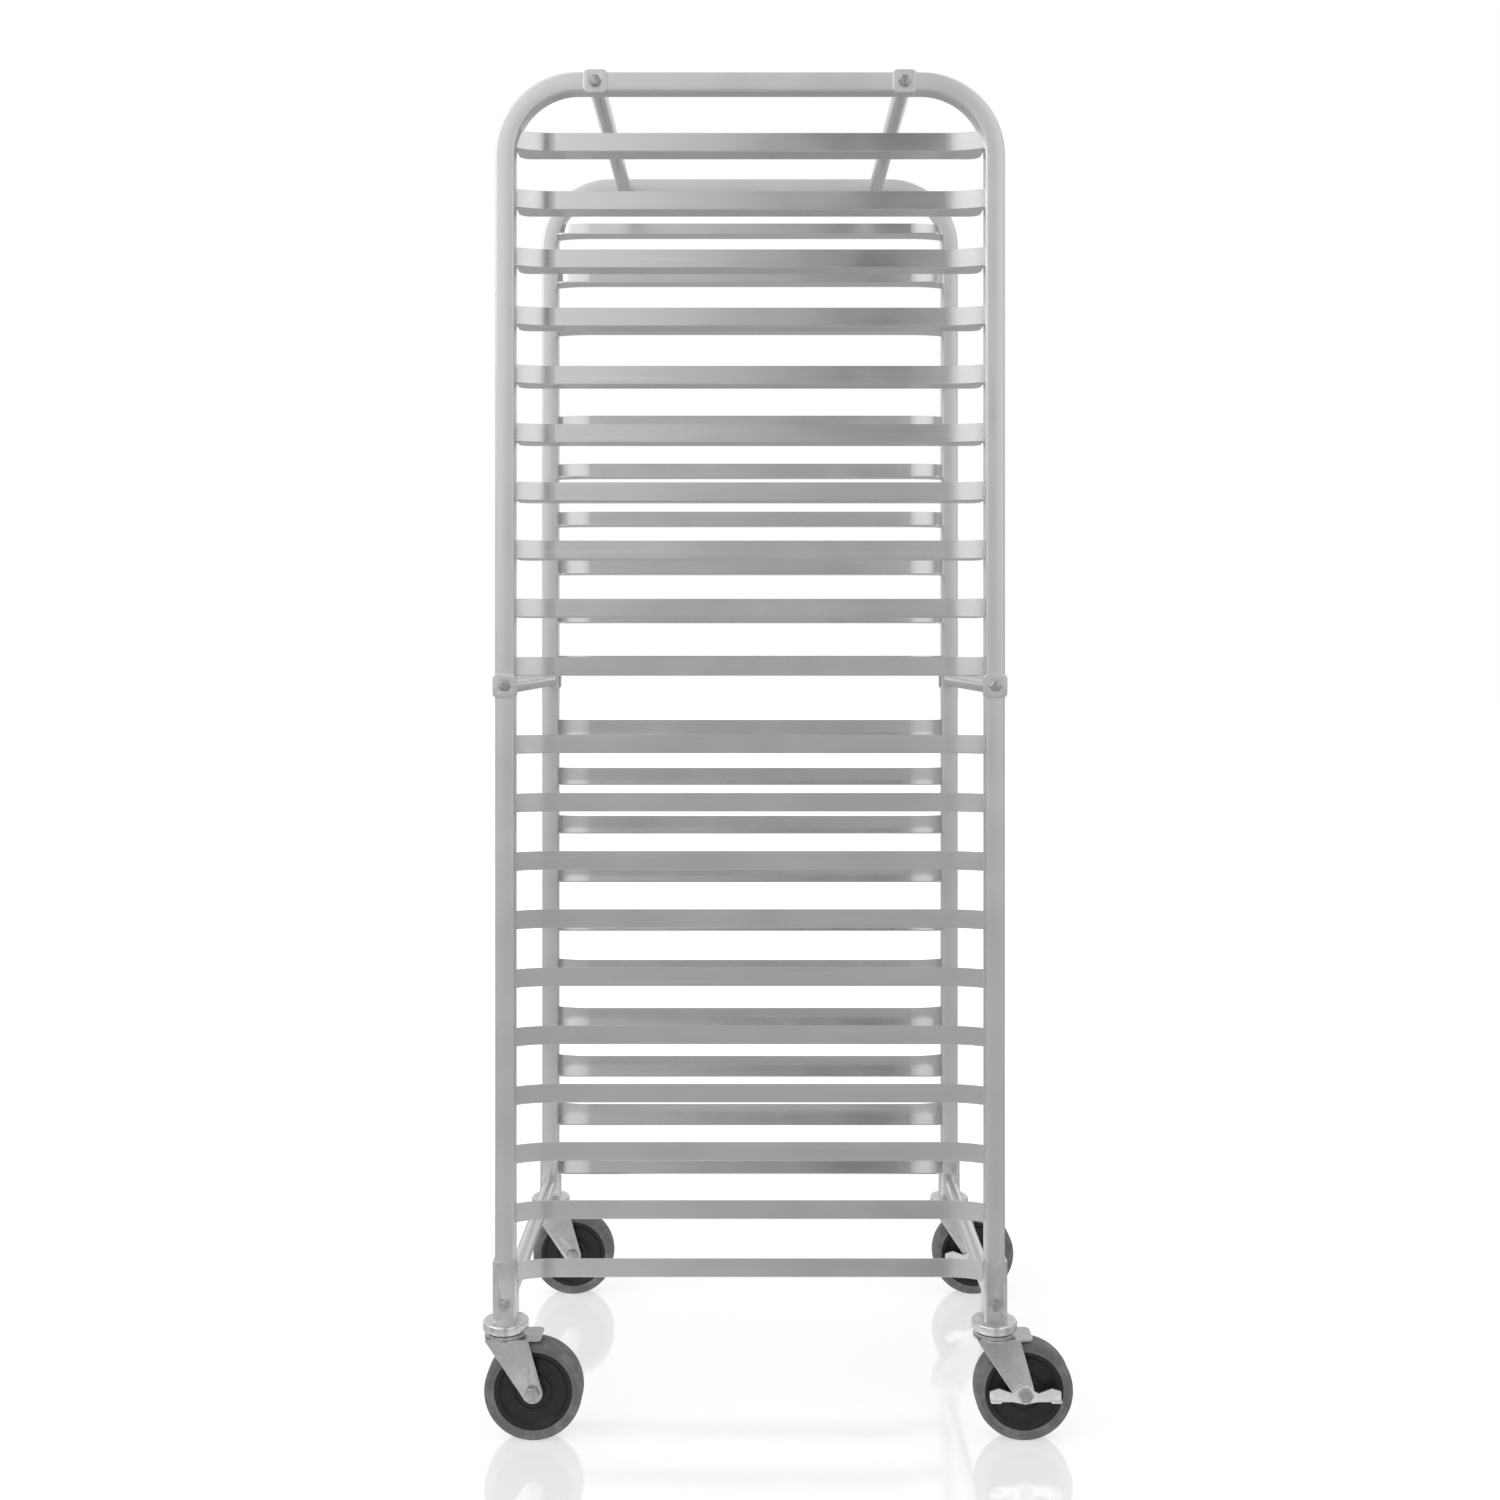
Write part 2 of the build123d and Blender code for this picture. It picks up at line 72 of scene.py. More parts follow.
# ---- finishes ------------------------------------------------------------------------
class Wiring:
    """A node tree, with short calls for the nodes that finishes and the sky share."""

    def __init__(self, tree: bpy.types.NodeTree) -> None:
        """Start with an empty tree.

        Args:
            tree: The tree to wire.
        """
        self.tree = tree
        self.tree.nodes.clear()

    def node(self, kind: str, **settings: object) -> bpy.types.Node:
        """Add a node and set its properties.

        Args:
            kind: The node's type name.
            settings: Property values by name.

        Returns:
            The new node.
        """
        made = self.tree.nodes.new(kind)
        for key, value in settings.items():
            setattr(made, key, value)
        return made

    def link(self, source: bpy.types.NodeSocket, target: bpy.types.NodeSocket) -> None:
        """Wire one socket to another."""
        self.tree.links.new(source, target)

    def place(self, space: Space, scale: Point) -> bpy.types.NodeSocket:
        """Coordinates stretched by a scale for each axis.

        Args:
            space: The object's own coordinates, or the unrolled ones along a bent tube.
            scale: Pattern cells per metre along each axis.

        Returns:
            The vector socket.
        """
        if space is Space.OBJECT:
            source = self.node("ShaderNodeTexCoord").outputs["Object"]
        else:
            attribute = self.node("ShaderNodeAttribute", attribute_name=space.value)
            source = attribute.outputs["Vector"]
        mapping = self.node("ShaderNodeMapping")
        mapping.inputs["Scale"].default_value = scale
        self.link(source, mapping.inputs["Vector"])
        return mapping.outputs["Vector"]

    def noise(self, vector: bpy.types.NodeSocket, scale: float,
              detail: float) -> bpy.types.NodeSocket:
        """Soft fractal noise from 0 to 1.

        Args:
            vector: The coordinates.
            scale: Cells per unit of those coordinates.
            detail: How many finer layers are added.

        Returns:
            The noise value.
        """
        made = self.node("ShaderNodeTexNoise")
        made.inputs["Scale"].default_value = scale
        made.inputs["Detail"].default_value = detail
        self.link(vector, made.inputs["Vector"])
        return made.outputs["Fac"]

    def spread(self, value: bpy.types.NodeSocket, low: float, high: float,
               start: float = 0.3, end: float = 0.7, smooth: bool = False) -> bpy.types.NodeSocket:
        """Map a value's middle range to new limits.

        Args:
            value: The value to map.
            low: What start becomes.
            high: What end becomes.
            start: The lower input limit.
            end: The upper input limit.
            smooth: Whether the change eases in and out.

        Returns:
            The mapped value.
        """
        made = self.node("ShaderNodeMapRange")
        made.interpolation_type = "SMOOTHSTEP" if smooth else "LINEAR"
        limits = (("From Min", start), ("From Max", end), ("To Min", low), ("To Max", high))
        for key, number in limits:
            made.inputs[key].default_value = number
        self.link(value, made.inputs["Value"])
        return made.outputs["Result"]

    def blend(self, share: bpy.types.NodeSocket, first: Colour,
              second: Colour) -> bpy.types.NodeSocket:
        """Two colours mixed by a value.

        Args:
            share: 0 for the first colour, 1 for the second.
            first: A colour of three numbers.
            second: A colour of three numbers.

        Returns:
            The colour socket.
        """
        made = self.node("ShaderNodeMix", data_type="RGBA")
        self.link(share, made.inputs["Factor"])
        made.inputs["A"].default_value = (*first, 1.0)
        made.inputs["B"].default_value = (*second, 1.0)
        return next(s for s in made.outputs if s.type == "RGBA")

    def overlay(self, share: bpy.types.NodeSocket, under: bpy.types.NodeSocket,
                colour: Colour) -> bpy.types.NodeSocket:
        """One colour laid over a changing one.

        Args:
            share: How much of the new colour shows.
            under: The colour below.
            colour: The colour on top.

        Returns:
            The colour socket.
        """
        made = self.node("ShaderNodeMix", data_type="RGBA")
        self.link(share, made.inputs["Factor"])
        inputs = [s for s in made.inputs if s.type == "RGBA"]
        self.link(under, inputs[0])
        inputs[1].default_value = (*colour, 1.0)
        return next(s for s in made.outputs if s.type == "RGBA")

    def combine(self, operation: str, first: bpy.types.NodeSocket,
                second: bpy.types.NodeSocket | float) -> bpy.types.NodeSocket:
        """Two values joined by arithmetic.

        Args:
            operation: The arithmetic's name, such as ADD or MULTIPLY.
            first: A value.
            second: Another value, or a plain number.

        Returns:
            The result.
        """
        made = self.node("ShaderNodeMath", operation=operation)
        self.link(first, made.inputs[0])
        if isinstance(second, float):
            made.inputs[1].default_value = second
        else:
            self.link(second, made.inputs[1])
        return made.outputs["Value"]

    def sum(self, first: bpy.types.NodeSocket,
            second: bpy.types.NodeSocket) -> bpy.types.NodeSocket:
        """Two values added."""
        return self.combine("ADD", first, second)


class Graph(Wiring):
    """One material's node tree, built round a principled shader."""

    def __init__(self, name: str) -> None:
        """Start a material with a principled shader wired to its output.

        Args:
            name: The material's name.
        """
        self.material = bpy.data.materials.new(name)
        self.material.use_nodes = True
        super().__init__(self.material.node_tree)
        self.shader = self.node("ShaderNodeBsdfPrincipled")
        output = self.node("ShaderNodeOutputMaterial")
        self.link(self.shader.outputs["BSDF"], output.inputs["Surface"])

    def constant(self, **values: object) -> None:
        """Set values on the shader's own sockets, with underscores for spaces."""
        for key, value in values.items():
            self.shader.inputs[key.replace("_", " ")].default_value = value

    def relief(self, height: bpy.types.NodeSocket, strength: float, depth: float) -> None:
        """Raise the surface by a height pattern.

        Args:
            height: The pattern, from 0 to 1.
            strength: The bump's strength.
            depth: The height of a full step, in metres.
        """
        made = self.node("ShaderNodeBump")
        made.inputs["Strength"].default_value = strength
        made.inputs["Distance"].default_value = depth
        self.link(height, made.inputs["Height"])
        self.link(made.outputs["Normal"], self.shader.inputs["Normal"])


@dataclass(frozen=True)
class DrawnAluminium:
    """Aluminium with fine draw lines along one direction and a faint cloudy oxide."""

    name: str
    slot: str = ""
    light: Colour = (0.83, 0.835, 0.84)
    dark: Colour = (0.70, 0.705, 0.712)
    rough: Span = (0.17, 0.22)
    along: Point = (0.5, 1100.0, 1100.0)
    space: Space = Space.OBJECT
    line_tone: float = 0.24
    line_rough: float = 0.06
    line_relief: float = 0.03
    line_depth: float = 0.0002
    cloud_cells: float = 9.0
    cloud_tone: float = 0.45
    scuff: Colour = (0.90, 0.90, 0.905)
    scuff_share: float = 0.25
    scuff_edge: Span = (0.60, 0.74)
    streak_cells: float = 4.0
    flat_lines: bool = False

    def build(self) -> bpy.types.Material:
        """Wire the finish.

        Returns:
            The material.
        """
        graph = Graph(self.name)
        graph.constant(Metallic=1.0)
        if self.flat_lines:
            lines = self.lines_by_face(graph)
        else:
            lines = graph.noise(graph.place(self.space, self.along), 1.0, 3.0)
        even = graph.place(self.space, EVEN)
        clouds = graph.noise(even, self.cloud_cells, 3.0)
        streaks = graph.place(
            self.space, tuple(math.sqrt(cells) * self.streak_cells for cells in self.along))
        scuffs = graph.noise(streaks, 1.0, 2.0)
        tone = graph.sum(graph.spread(lines, 0.0, self.line_tone),
                         graph.spread(clouds, 0.0, self.cloud_tone))
        colour = graph.blend(tone, self.dark, self.light)
        marks = graph.spread(scuffs, 0.0, self.scuff_share, *self.scuff_edge)
        graph.link(graph.overlay(marks, colour, self.scuff), graph.shader.inputs["Base Color"])
        gloss = graph.sum(graph.spread(clouds, *self.rough),
                          graph.spread(lines, 0.0, self.line_rough))
        graph.link(gloss, graph.shader.inputs["Roughness"])
        graph.relief(lines, self.line_relief, self.line_depth)
        return graph.material

    def lines_by_face(self, graph: Graph) -> bpy.types.NodeSocket:
        """Lines along X that stay fine on upright faces and on level ones.

        Args:
            graph: The material being wired.

        Returns:
            The line pattern, from 0 to 1.
        """
        run, across, up = self.along
        upright = graph.noise(graph.place(self.space, (run, 0.0, up)), 1.0, 3.0)
        level = graph.noise(graph.place(self.space, (run, across, 0.0)), 1.0, 3.0)
        facing = graph.node("ShaderNodeSeparateXYZ")
        graph.link(graph.node("ShaderNodeTexCoord").outputs["Normal"], facing.inputs["Vector"])
        share = graph.spread(graph.combine("ABSOLUTE", facing.outputs["Z"], 0.0), 0.0, 1.0)
        made = graph.node("ShaderNodeMix", data_type="FLOAT")
        for value, socket in ((share, "Factor"), (upright, "A"), (level, "B")):
            graph.link(value, made.inputs[socket])
        return made.outputs["Result"]


@dataclass(frozen=True)
class PlatedSteel:
    """Zinc-plated steel: bright, slightly blue, mottled, and duller in patches."""

    name: str
    slot: str = ""
    light: Colour = (0.86, 0.87, 0.89)
    dark: Colour = (0.60, 0.61, 0.63)
    rough: Span = (0.18, 0.34)
    mottle_cells: float = 140.0
    mottle_tone: float = 0.4
    patch_tone: float = 0.6
    patch_size: float = 7.0
    grime: Colour = (0.36, 0.355, 0.34)
    grime_share: float = 0.35
    grime_edge: Span = (0.62, 0.78)
    grime_size: float = 2.5
    relief: float = 0.12
    relief_depth: float = 0.0003

    def build(self) -> bpy.types.Material:
        """Wire the finish.

        Returns:
            The material.
        """
        graph = Graph(self.name)
        graph.constant(Metallic=1.0)
        even = graph.place(Space.OBJECT, EVEN)
        mottle = graph.noise(even, self.mottle_cells, 4.0)
        patches = graph.noise(even, self.mottle_cells / self.patch_size, 3.0)
        grime = graph.noise(even, self.mottle_cells / self.grime_size, 6.0)
        tone = graph.sum(graph.spread(mottle, 0.0, self.mottle_tone),
                         graph.spread(patches, 0.0, self.patch_tone))
        colour = graph.blend(tone, self.dark, self.light)
        dirt = graph.spread(grime, 0.0, self.grime_share, *self.grime_edge)
        graph.link(graph.overlay(dirt, colour, self.grime), graph.shader.inputs["Base Color"])
        smooth, dull = self.rough
        graph.link(graph.spread(patches, dull, smooth), graph.shader.inputs["Roughness"])
        graph.relief(mottle, self.relief, self.relief_depth)
        return graph.material


@dataclass(frozen=True)
class MouldedPlastic:
    """Black moulded plastic with a fine spark texture and a little dust."""

    name: str
    slot: str = ""
    body: Colour = (0.007, 0.007, 0.008)
    dust: Colour = (0.032, 0.031, 0.030)
    dust_share: float = 0.6
    dust_edge: Span = (0.5, 0.8)
    dust_cells: float = 60.0
    rough: Span = (0.38, 0.55)
    spark_cells: float = 1400.0
    spark_relief: float = 0.18
    spark_depth: float = 0.0001

    def build(self) -> bpy.types.Material:
        """Wire the finish.

        Returns:
            The material.
        """
        graph = Graph(self.name)
        graph.constant(IOR=1.49)
        even = graph.place(Space.OBJECT, EVEN)
        spark = graph.noise(even, self.spark_cells, 2.0)
        haze = graph.noise(even, self.dust_cells, 5.0)
        share = graph.spread(haze, 0.0, self.dust_share, *self.dust_edge)
        colour = graph.blend(share, self.body, self.dust)
        graph.link(colour, graph.shader.inputs["Base Color"])
        graph.link(graph.spread(haze, *self.rough), graph.shader.inputs["Roughness"])
        graph.relief(spark, self.spark_relief, self.spark_depth)
        return graph.material


@dataclass(frozen=True)
class TreadRubber:
    """Grey non-marking rubber, scuffed where it rolls."""

    name: str
    slot: str = ""
    body: Colour = (0.155, 0.155, 0.158)
    worn: Colour = (0.27, 0.268, 0.262)
    wear_edge: Span = (0.42, 0.75)
    wear_cells: float = 75.0
    rough: Span = (0.62, 0.82)
    grit_cells: float = 900.0
    grit_relief: float = 0.25
    grit_depth: float = 0.0002

    def build(self) -> bpy.types.Material:
        """Wire the finish.

        Returns:
            The material.
        """
        graph = Graph(self.name)
        graph.constant(IOR=1.52)
        even = graph.place(Space.OBJECT, EVEN)
        grit = graph.noise(even, self.grit_cells, 3.0)
        wear = graph.noise(even, self.wear_cells, 6.0)
        colour = graph.blend(graph.spread(wear, 0.0, 1.0, *self.wear_edge), self.body, self.worn)
        graph.link(colour, graph.shader.inputs["Base Color"])
        graph.link(graph.spread(wear, *self.rough), graph.shader.inputs["Roughness"])
        graph.relief(grit, self.grit_relief, self.grit_depth)
        return graph.material


@dataclass(frozen=True)
class PaleFloor:
    """A pale, slightly polished studio floor, lit from below where it is looked at, with a painted
    pool of light glowing under the rack.
    """

    name: str = "pale_floor"
    shade: Colour = (0.50, 0.50, 0.505)
    worn: Colour = (0.53, 0.53, 0.53)
    glow: Span = (0.53, 0.85)
    glow_reach: Span = (0.8, 1.25)
    # painted_light_pool: a painted pool of light, a glow on the floor under the rack that lights
    # the metal from below
    painted_light_pool: float = 0.32
    painted_light_reach: Span = (0.35, 0.75)
    polish: float = 0.5
    polish_reach: Span = (0.8, 1.25)
    rough: Span = (0.07, 0.10)
    cloud_cells: float = 3.0

    def build(self) -> bpy.types.Material:
        """Wire the finish.

        Returns:
            The material.
        """
        graph = Graph(self.name)
        graph.constant(IOR=3.2)
        graph.shader.inputs["Emission Color"].default_value = (1.0, 1.0, 1.0, 1.0)
        even = graph.place(Space.OBJECT, EVEN)
        reach = graph.node("ShaderNodeVectorMath", operation="LENGTH")
        graph.link(even, reach.inputs[0])
        away = reach.outputs["Value"]
        # Painted light: the floor glows round its middle for every ray, so the rack is lit and
        # reflects a bright pool
        painted_light_pool = graph.spread(away, self.painted_light_pool, 0.0, *self.painted_light_reach, smooth=True)
        polish = graph.spread(away, self.polish, 0.0, *self.polish_reach, smooth=True)
        graph.link(polish, graph.shader.inputs["Specular IOR Level"])
        looked_at = graph.node("ShaderNodeLightPath").outputs["Is Camera Ray"]
        lit = graph.spread(away, *self.glow, *self.glow_reach, smooth=True)
        glow = graph.combine("MAXIMUM", painted_light_pool, graph.combine("MULTIPLY", lit, looked_at))
        graph.link(glow, graph.shader.inputs["Emission Strength"])
        cloud = graph.noise(even, self.cloud_cells, 2.0)
        colour = graph.blend(graph.spread(cloud, 0.0, 1.0), self.shade, self.worn)
        graph.link(colour, graph.shader.inputs["Base Color"])
        graph.link(graph.spread(cloud, *self.rough), graph.shader.inputs["Roughness"])
        return graph.material


TUBE = DrawnAluminium("tube_aluminium", light=(0.84, 0.845, 0.85), dark=(0.73, 0.735, 0.74),
                      rough=(0.30, 0.38), space=Space.GRAIN)
RUNNER = DrawnAluminium("runner_aluminium", flat_lines=True)
CROSS_TUBE = DrawnAluminium("cross_tube_aluminium", along=(1100.0, 0.5, 1100.0), line_tone=0.14)
SADDLE = DrawnAluminium("saddle_aluminium", along=(160.0, 160.0, 160.0), rough=(0.28, 0.42))
WELD = DrawnAluminium("weld_aluminium", slot="runner_aluminium", along=(500.0, 500.0, 900.0),
                      rough=(0.32, 0.5), line_relief=0.3)
ZINC = PlatedSteel("zinc_plated_steel", light=(0.86, 0.865, 0.875), dark=(0.64, 0.645, 0.655))
# A darker copy of the zinc plating: painted shade on the caster forks.
FORK_PAINTED_SHADE = PlatedSteel("painted_shade_zinc_steel", slot="zinc_plated_steel", light=(0.66, 0.665, 0.68),
                   dark=(0.46, 0.465, 0.475), rough=(0.22, 0.36))
# A lighter copy of the zinc plating: a painted highlight on the brake levers.
LEVER_PAINTED_HIGHLIGHT = PlatedSteel("painted_highlight_zinc_steel", slot="zinc_plated_steel", light=(0.97, 0.975, 0.98),
                    dark=(0.88, 0.885, 0.89), rough=(0.36, 0.46))
BOLT = PlatedSteel("bolt_steel", light=(0.66, 0.665, 0.675), dark=(0.34, 0.345, 0.355),
                   rough=(0.22, 0.36), mottle_cells=260.0)
BALL = PlatedSteel("bearing_steel", rough=(0.06, 0.12), mottle_cells=420.0)
PLASTIC = MouldedPlastic("core_plastic")
RUBBER = TreadRubber("tread_rubber")


Finish = DrawnAluminium | PlatedSteel | MouldedPlastic | TreadRubber


class Paintbox:
    """Every finish built once, by name."""

    def __init__(self, finishes: Iterable[Finish]) -> None:
        """Build the materials.

        Args:
            finishes: The finishes, each with a name and a build method.
        """
        self.materials = {finish.name: finish.build() for finish in finishes}

    def coat(self, piece: bpy.types.Object, finish: Finish) -> None:
        """Give a piece one finish all over."""
        piece.data.materials.clear()
        piece.data.materials.append(self.materials[finish.name])


# ---- the bench -----------------------------------------------------------------------
def clear_bench() -> None:
    """Leave edit mode and deselect everything."""
    if bpy.context.mode != "OBJECT":
        bpy.ops.object.mode_set(mode="OBJECT")
    bpy.ops.object.select_all(action="DESELECT")


class Workpiece:
    """A mesh on the bench: started from a primitive or a blank, shaped, then finished."""

    def __init__(self, name: str, start: Callable[[], object]) -> None:
        """Add the first shape and open it for editing.

        Args:
            name: The piece's name.
            start: The call that adds the primitive.
        """
        clear_bench()
        start()
        self.piece = bpy.context.view_layer.objects.active
        self.piece.name = name
        self.piece.data.name = name
        bpy.ops.object.transform_apply(location=True, rotation=True, scale=True)
        bpy.ops.object.mode_set(mode="EDIT")
        bpy.ops.mesh.select_all(action="SELECT")

    @classmethod
    def from_node(cls, node: str, name: str) -> "Workpiece":
        """Start from a merged copy of one of the frame's nodes.

        Args:
            node: The node to copy.
            name: The piece's name.

        Returns:
            The workpiece, open for editing.
        """

        def blank() -> None:
            """Put the copy on the bench."""
            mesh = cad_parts[node].data.copy()
            copied = bpy.data.objects.new(name, mesh)
            bpy.context.scene.collection.objects.link(copied)
            bpy.context.view_layer.objects.active = copied
            copied.select_set(True)

        work = cls(name, blank)
        bpy.ops.mesh.customdata_custom_splitnormals_clear()
        bpy.ops.mesh.remove_doubles(threshold=MERGE)
        bpy.ops.mesh.dissolve_limited(angle_limit=FLAT)
        return work

    def extrude(self, step: Point) -> None:
        """Extrude what is selected and move it."""
        bpy.ops.mesh.extrude_region_move(TRANSFORM_OT_translate={"value": step})

    def spin(self, centre: Point, axis: Point, angle: float, steps: int) -> None:
        """Sweep what is selected about an axis."""
        bpy.ops.mesh.spin(steps=steps, angle=angle, center=centre, axis=axis)

    def close_up(self) -> None:
        """Merge doubles and turn every face outwards."""
        bpy.ops.mesh.select_all(action="SELECT")
        bpy.ops.mesh.remove_doubles(threshold=MERGE)
        bpy.ops.mesh.normals_make_consistent(inside=False)

    def round_edges(self, width: float, segments: int = 3, angle: float = 30.0) -> None:
        """Round every edge sharper than an angle.

        Args:
            width: The round's width, in metres.
            segments: Steps across the round.
            angle: The sharpest edge left alone, in degrees.
        """
        bpy.ops.object.mode_set(mode="OBJECT")
        rounding = self.piece.modifiers.new("rounding", "BEVEL")
        rounding.width = width
        rounding.segments = segments
        rounding.limit_method = "ANGLE"
        rounding.angle_limit = math.radians(angle)
        bpy.ops.object.modifier_apply(modifier=rounding.name)
        bpy.ops.object.mode_set(mode="EDIT")

    def done(self, smooth: float = 40.0) -> bpy.types.Object:
        """Shade the mesh and take it off the bench.

        Args:
            smooth: Edges sharper than this many degrees stay sharp.

        Returns:
            The finished object.
        """
        bpy.ops.object.mode_set(mode="OBJECT")
        bpy.ops.object.shade_smooth_by_angle(angle=math.radians(smooth))
        clear_bench()
        return self.piece


@dataclass(frozen=True)
class Fitting:
    """How a finished piece joins the rack: its body, the nodes it stands for, its finish."""

    body: str
    finish: Finish
    nodes: tuple[str, ...] = ()

    def fit(self, piece: bpy.types.Object, paints: Paintbox) -> None:
        """Coat a piece and set it on its body.

        Args:
            piece: The finished object.
            paints: The built finishes.
        """
        paints.coat(piece, self.finish)
        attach(piece, self.body)
        if self.nodes:
            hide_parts(*self.nodes)
        LOG.info("%s on %s", piece.name, self.body)


def turned(name: str, hub: Vector, start: Ring, steps: Sequence[Ring], sides: int) -> Workpiece:
    """A turned piece whose axle runs along Y: a circle carried round a closed profile.

    Args:
        name: The piece's name.
        hub: The centre of the axle.
        start: The first circle's radius and its distance along Y from the hub.
        steps: Each next circle's radius and distance, ending before the first comes again.
        sides: Sides to a circle.

    Returns:
        The closed workpiece, still open for editing.
    """
    radius, along = start

    def circle() -> None:
        """Add the first circle."""
        bpy.ops.mesh.primitive_circle_add(
            vertices=sides, radius=radius, rotation=(math.pi / 2, 0, 0),
            location=(hub.x, hub.y + along, hub.z))

    work = Workpiece(name, circle)
    for next_radius, next_along in [*steps, start]:
        bpy.ops.mesh.extrude_region_move(
            TRANSFORM_OT_translate={"value": (0, next_along - along, 0)})
        grow = next_radius / radius
        centre = (hub.x, hub.y + next_along, hub.z)
        bpy.ops.transform.resize(value=(grow, 1, grow), center_override=centre)
        radius, along = next_radius, next_along
    work.close_up()
    return work


# ---- side frames ---------------------------------------------------------------------
@dataclass
class SideFrame:
    """One bent square tube with a leg at each end and the top rail between."""

    side: str
    corner: float = 0.0032
    corner_steps: int = 4
    bend_steps: int = 28
    bend_outer: float = 0.1077

    def __post_init__(self) -> None:
        """Read the tube's place from its node."""
        self.node = f"side_frame_{self.side}"
        self.low, self.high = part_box(self.node)
        self.tube = self.high.y - self.low.y
        self.bend = self.bend_outer - self.tube / 2
        self.leg_x = self.high.x - self.tube / 2
        self.mid_y = (self.low.y + self.high.y) / 2
        self.rail_z = self.high.z - self.tube / 2
        self.bend_z = self.rail_z - self.bend
        self.bend_x = self.leg_x - self.bend

    def build(self, paints: Paintbox) -> None:
        """Extrude and spin the tube along its bends, and lay its grain.

        Args:
            paints: The built finishes.
        """
        start = (-self.leg_x, self.mid_y, self.low.z)

        def section() -> None:
            """Add the tube's square section at the foot of a leg."""
            bpy.ops.mesh.primitive_plane_add(size=self.tube, location=start)

        work = Workpiece(f"{self.node}_tube", section)
        bpy.ops.mesh.bevel(offset=self.corner, segments=self.corner_steps, affect="VERTICES")
        work.extrude((0, 0, self.bend_z - self.low.z))
        quarter = -math.pi / 2
        turn = (0, 1, 0)
        work.spin((-self.bend_x, self.mid_y, self.bend_z), turn, quarter, self.bend_steps)
        work.extrude((2 * self.bend_x, 0, 0))
        work.spin((self.bend_x, self.mid_y, self.bend_z), turn, quarter, self.bend_steps)
        work.extrude((0, 0, self.low.z - self.bend_z))
        work.close_up()
        piece = work.done(smooth=30)
        self.lay_grain(piece)
        Fitting("frame", TUBE, (self.node,)).fit(piece, paints)

    def unroll(self, point: Vector) -> Point:
        """Where a point lies on the tube as if it were straight.

        Args:
            point: A point of the tube's skin.

        Returns:
            Its distance along the tube, out from the tube's middle line, and across.
        """
        leg = self.bend_z - self.low.z
        arc = self.bend * math.pi / 2
        side = -1 if point.x < 0 else 1
        across = point.y - self.mid_y
        if point.z <= self.bend_z:
            along, out = point.z - self.low.z, abs(point.x) - self.leg_x
        elif abs(point.x) <= self.bend_x:
            along, out = leg + arc + self.bend_x - abs(point.x), point.z - self.rail_z
        else:
            reach = Vector((abs(point.x) - self.bend_x, point.z - self.bend_z))
            along = leg + self.bend * math.atan2(reach.y, reach.x)
            out = reach.length - self.bend
        total = 2 * (leg + arc + self.bend_x)
        return (along if side < 0 else total - along, out, across)

    def lay_grain(self, piece: bpy.types.Object) -> None:
        """Store the unrolled place of every point, for the draw lines to follow."""
        layer = piece.data.attributes.new(Space.GRAIN.value, "FLOAT_VECTOR", "POINT")
        for vertex in piece.data.vertices:
            layer.data[vertex.index].vector = self.unroll(vertex.co)


# ---- runners -------------------------------------------------------------------------
@dataclass
class RunnerTier:
    """A tier's pair of angle runners and the welds that hold their four ends."""

    node: str
    bead: float = 0.0021
    sides: int = 8
    ripple: float = 0.78
    ripples: int = 8
    inset: float = 0.0035

    def build(self, paints: Paintbox, leg_inner: float, weld_y: float) -> None:
        """Coat the runners and lay a weld bead at each end.

        Args:
            paints: The built finishes.
            leg_inner: How far the legs' inner faces are from the middle, along X.
            weld_y: How far the runners' ends meet the legs from the middle, along Y.
        """
        paints.coat(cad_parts[self.node], RUNNER)
        low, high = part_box(self.node)
        for end, x in (("left", -leg_inner), ("right", leg_inner)):
            for side, y in (("near", -weld_y), ("far", weld_y)):
                name = f"{self.node}_weld_{side}_{end}"
                foot = Vector((x, y, low.z + self.inset))
                piece = self.bead_at(name, foot, high.z - low.z - 2 * self.inset)
                Fitting("frame", WELD).fit(piece, paints)

    def bead_at(self, name: str, foot: Vector, height: float) -> bpy.types.Object:
        """One upright rippled bead.

        Args:
            name: The bead's name.
            foot: Its lower end.
            height: Its length.

        Returns:
            The finished bead.
        """
        work = Workpiece(name, lambda: bpy.ops.mesh.primitive_circle_add(
            vertices=self.sides, radius=self.bead * self.ripple, location=foot, fill_type="NGON"))
        z = foot.z
        for step in range(self.ripples):
            z += height / self.ripples
            grow = 1 / self.ripple if step % 2 == 0 else self.ripple
            work.extrude((0, 0, height / self.ripples))
            bpy.ops.transform.resize(value=(grow, grow, 1), center_override=(foot.x, foot.y, z))
        work.close_up()
        return work.done(smooth=60)


# ---- pressed and machined parts ------------------------------------------------------
@dataclass(frozen=True)
class SoftEdged:
    """A pressed or machined piece: a frame node's shape with its edges rounded over."""

    node: str
    body: str
    finish: Finish
    width: float = 0.0006
    segments: int = 3

    def build(self, paints: Paintbox) -> None:
        """Round the copied shape and fit it in the node's place.

        Args:
            paints: The built finishes.
        """
        work = Workpiece.from_node(self.node, f"{self.node}_part")
        work.round_edges(self.width, self.segments)
        Fitting(self.body, self.finish, (self.node,)).fit(work.done(), paints)


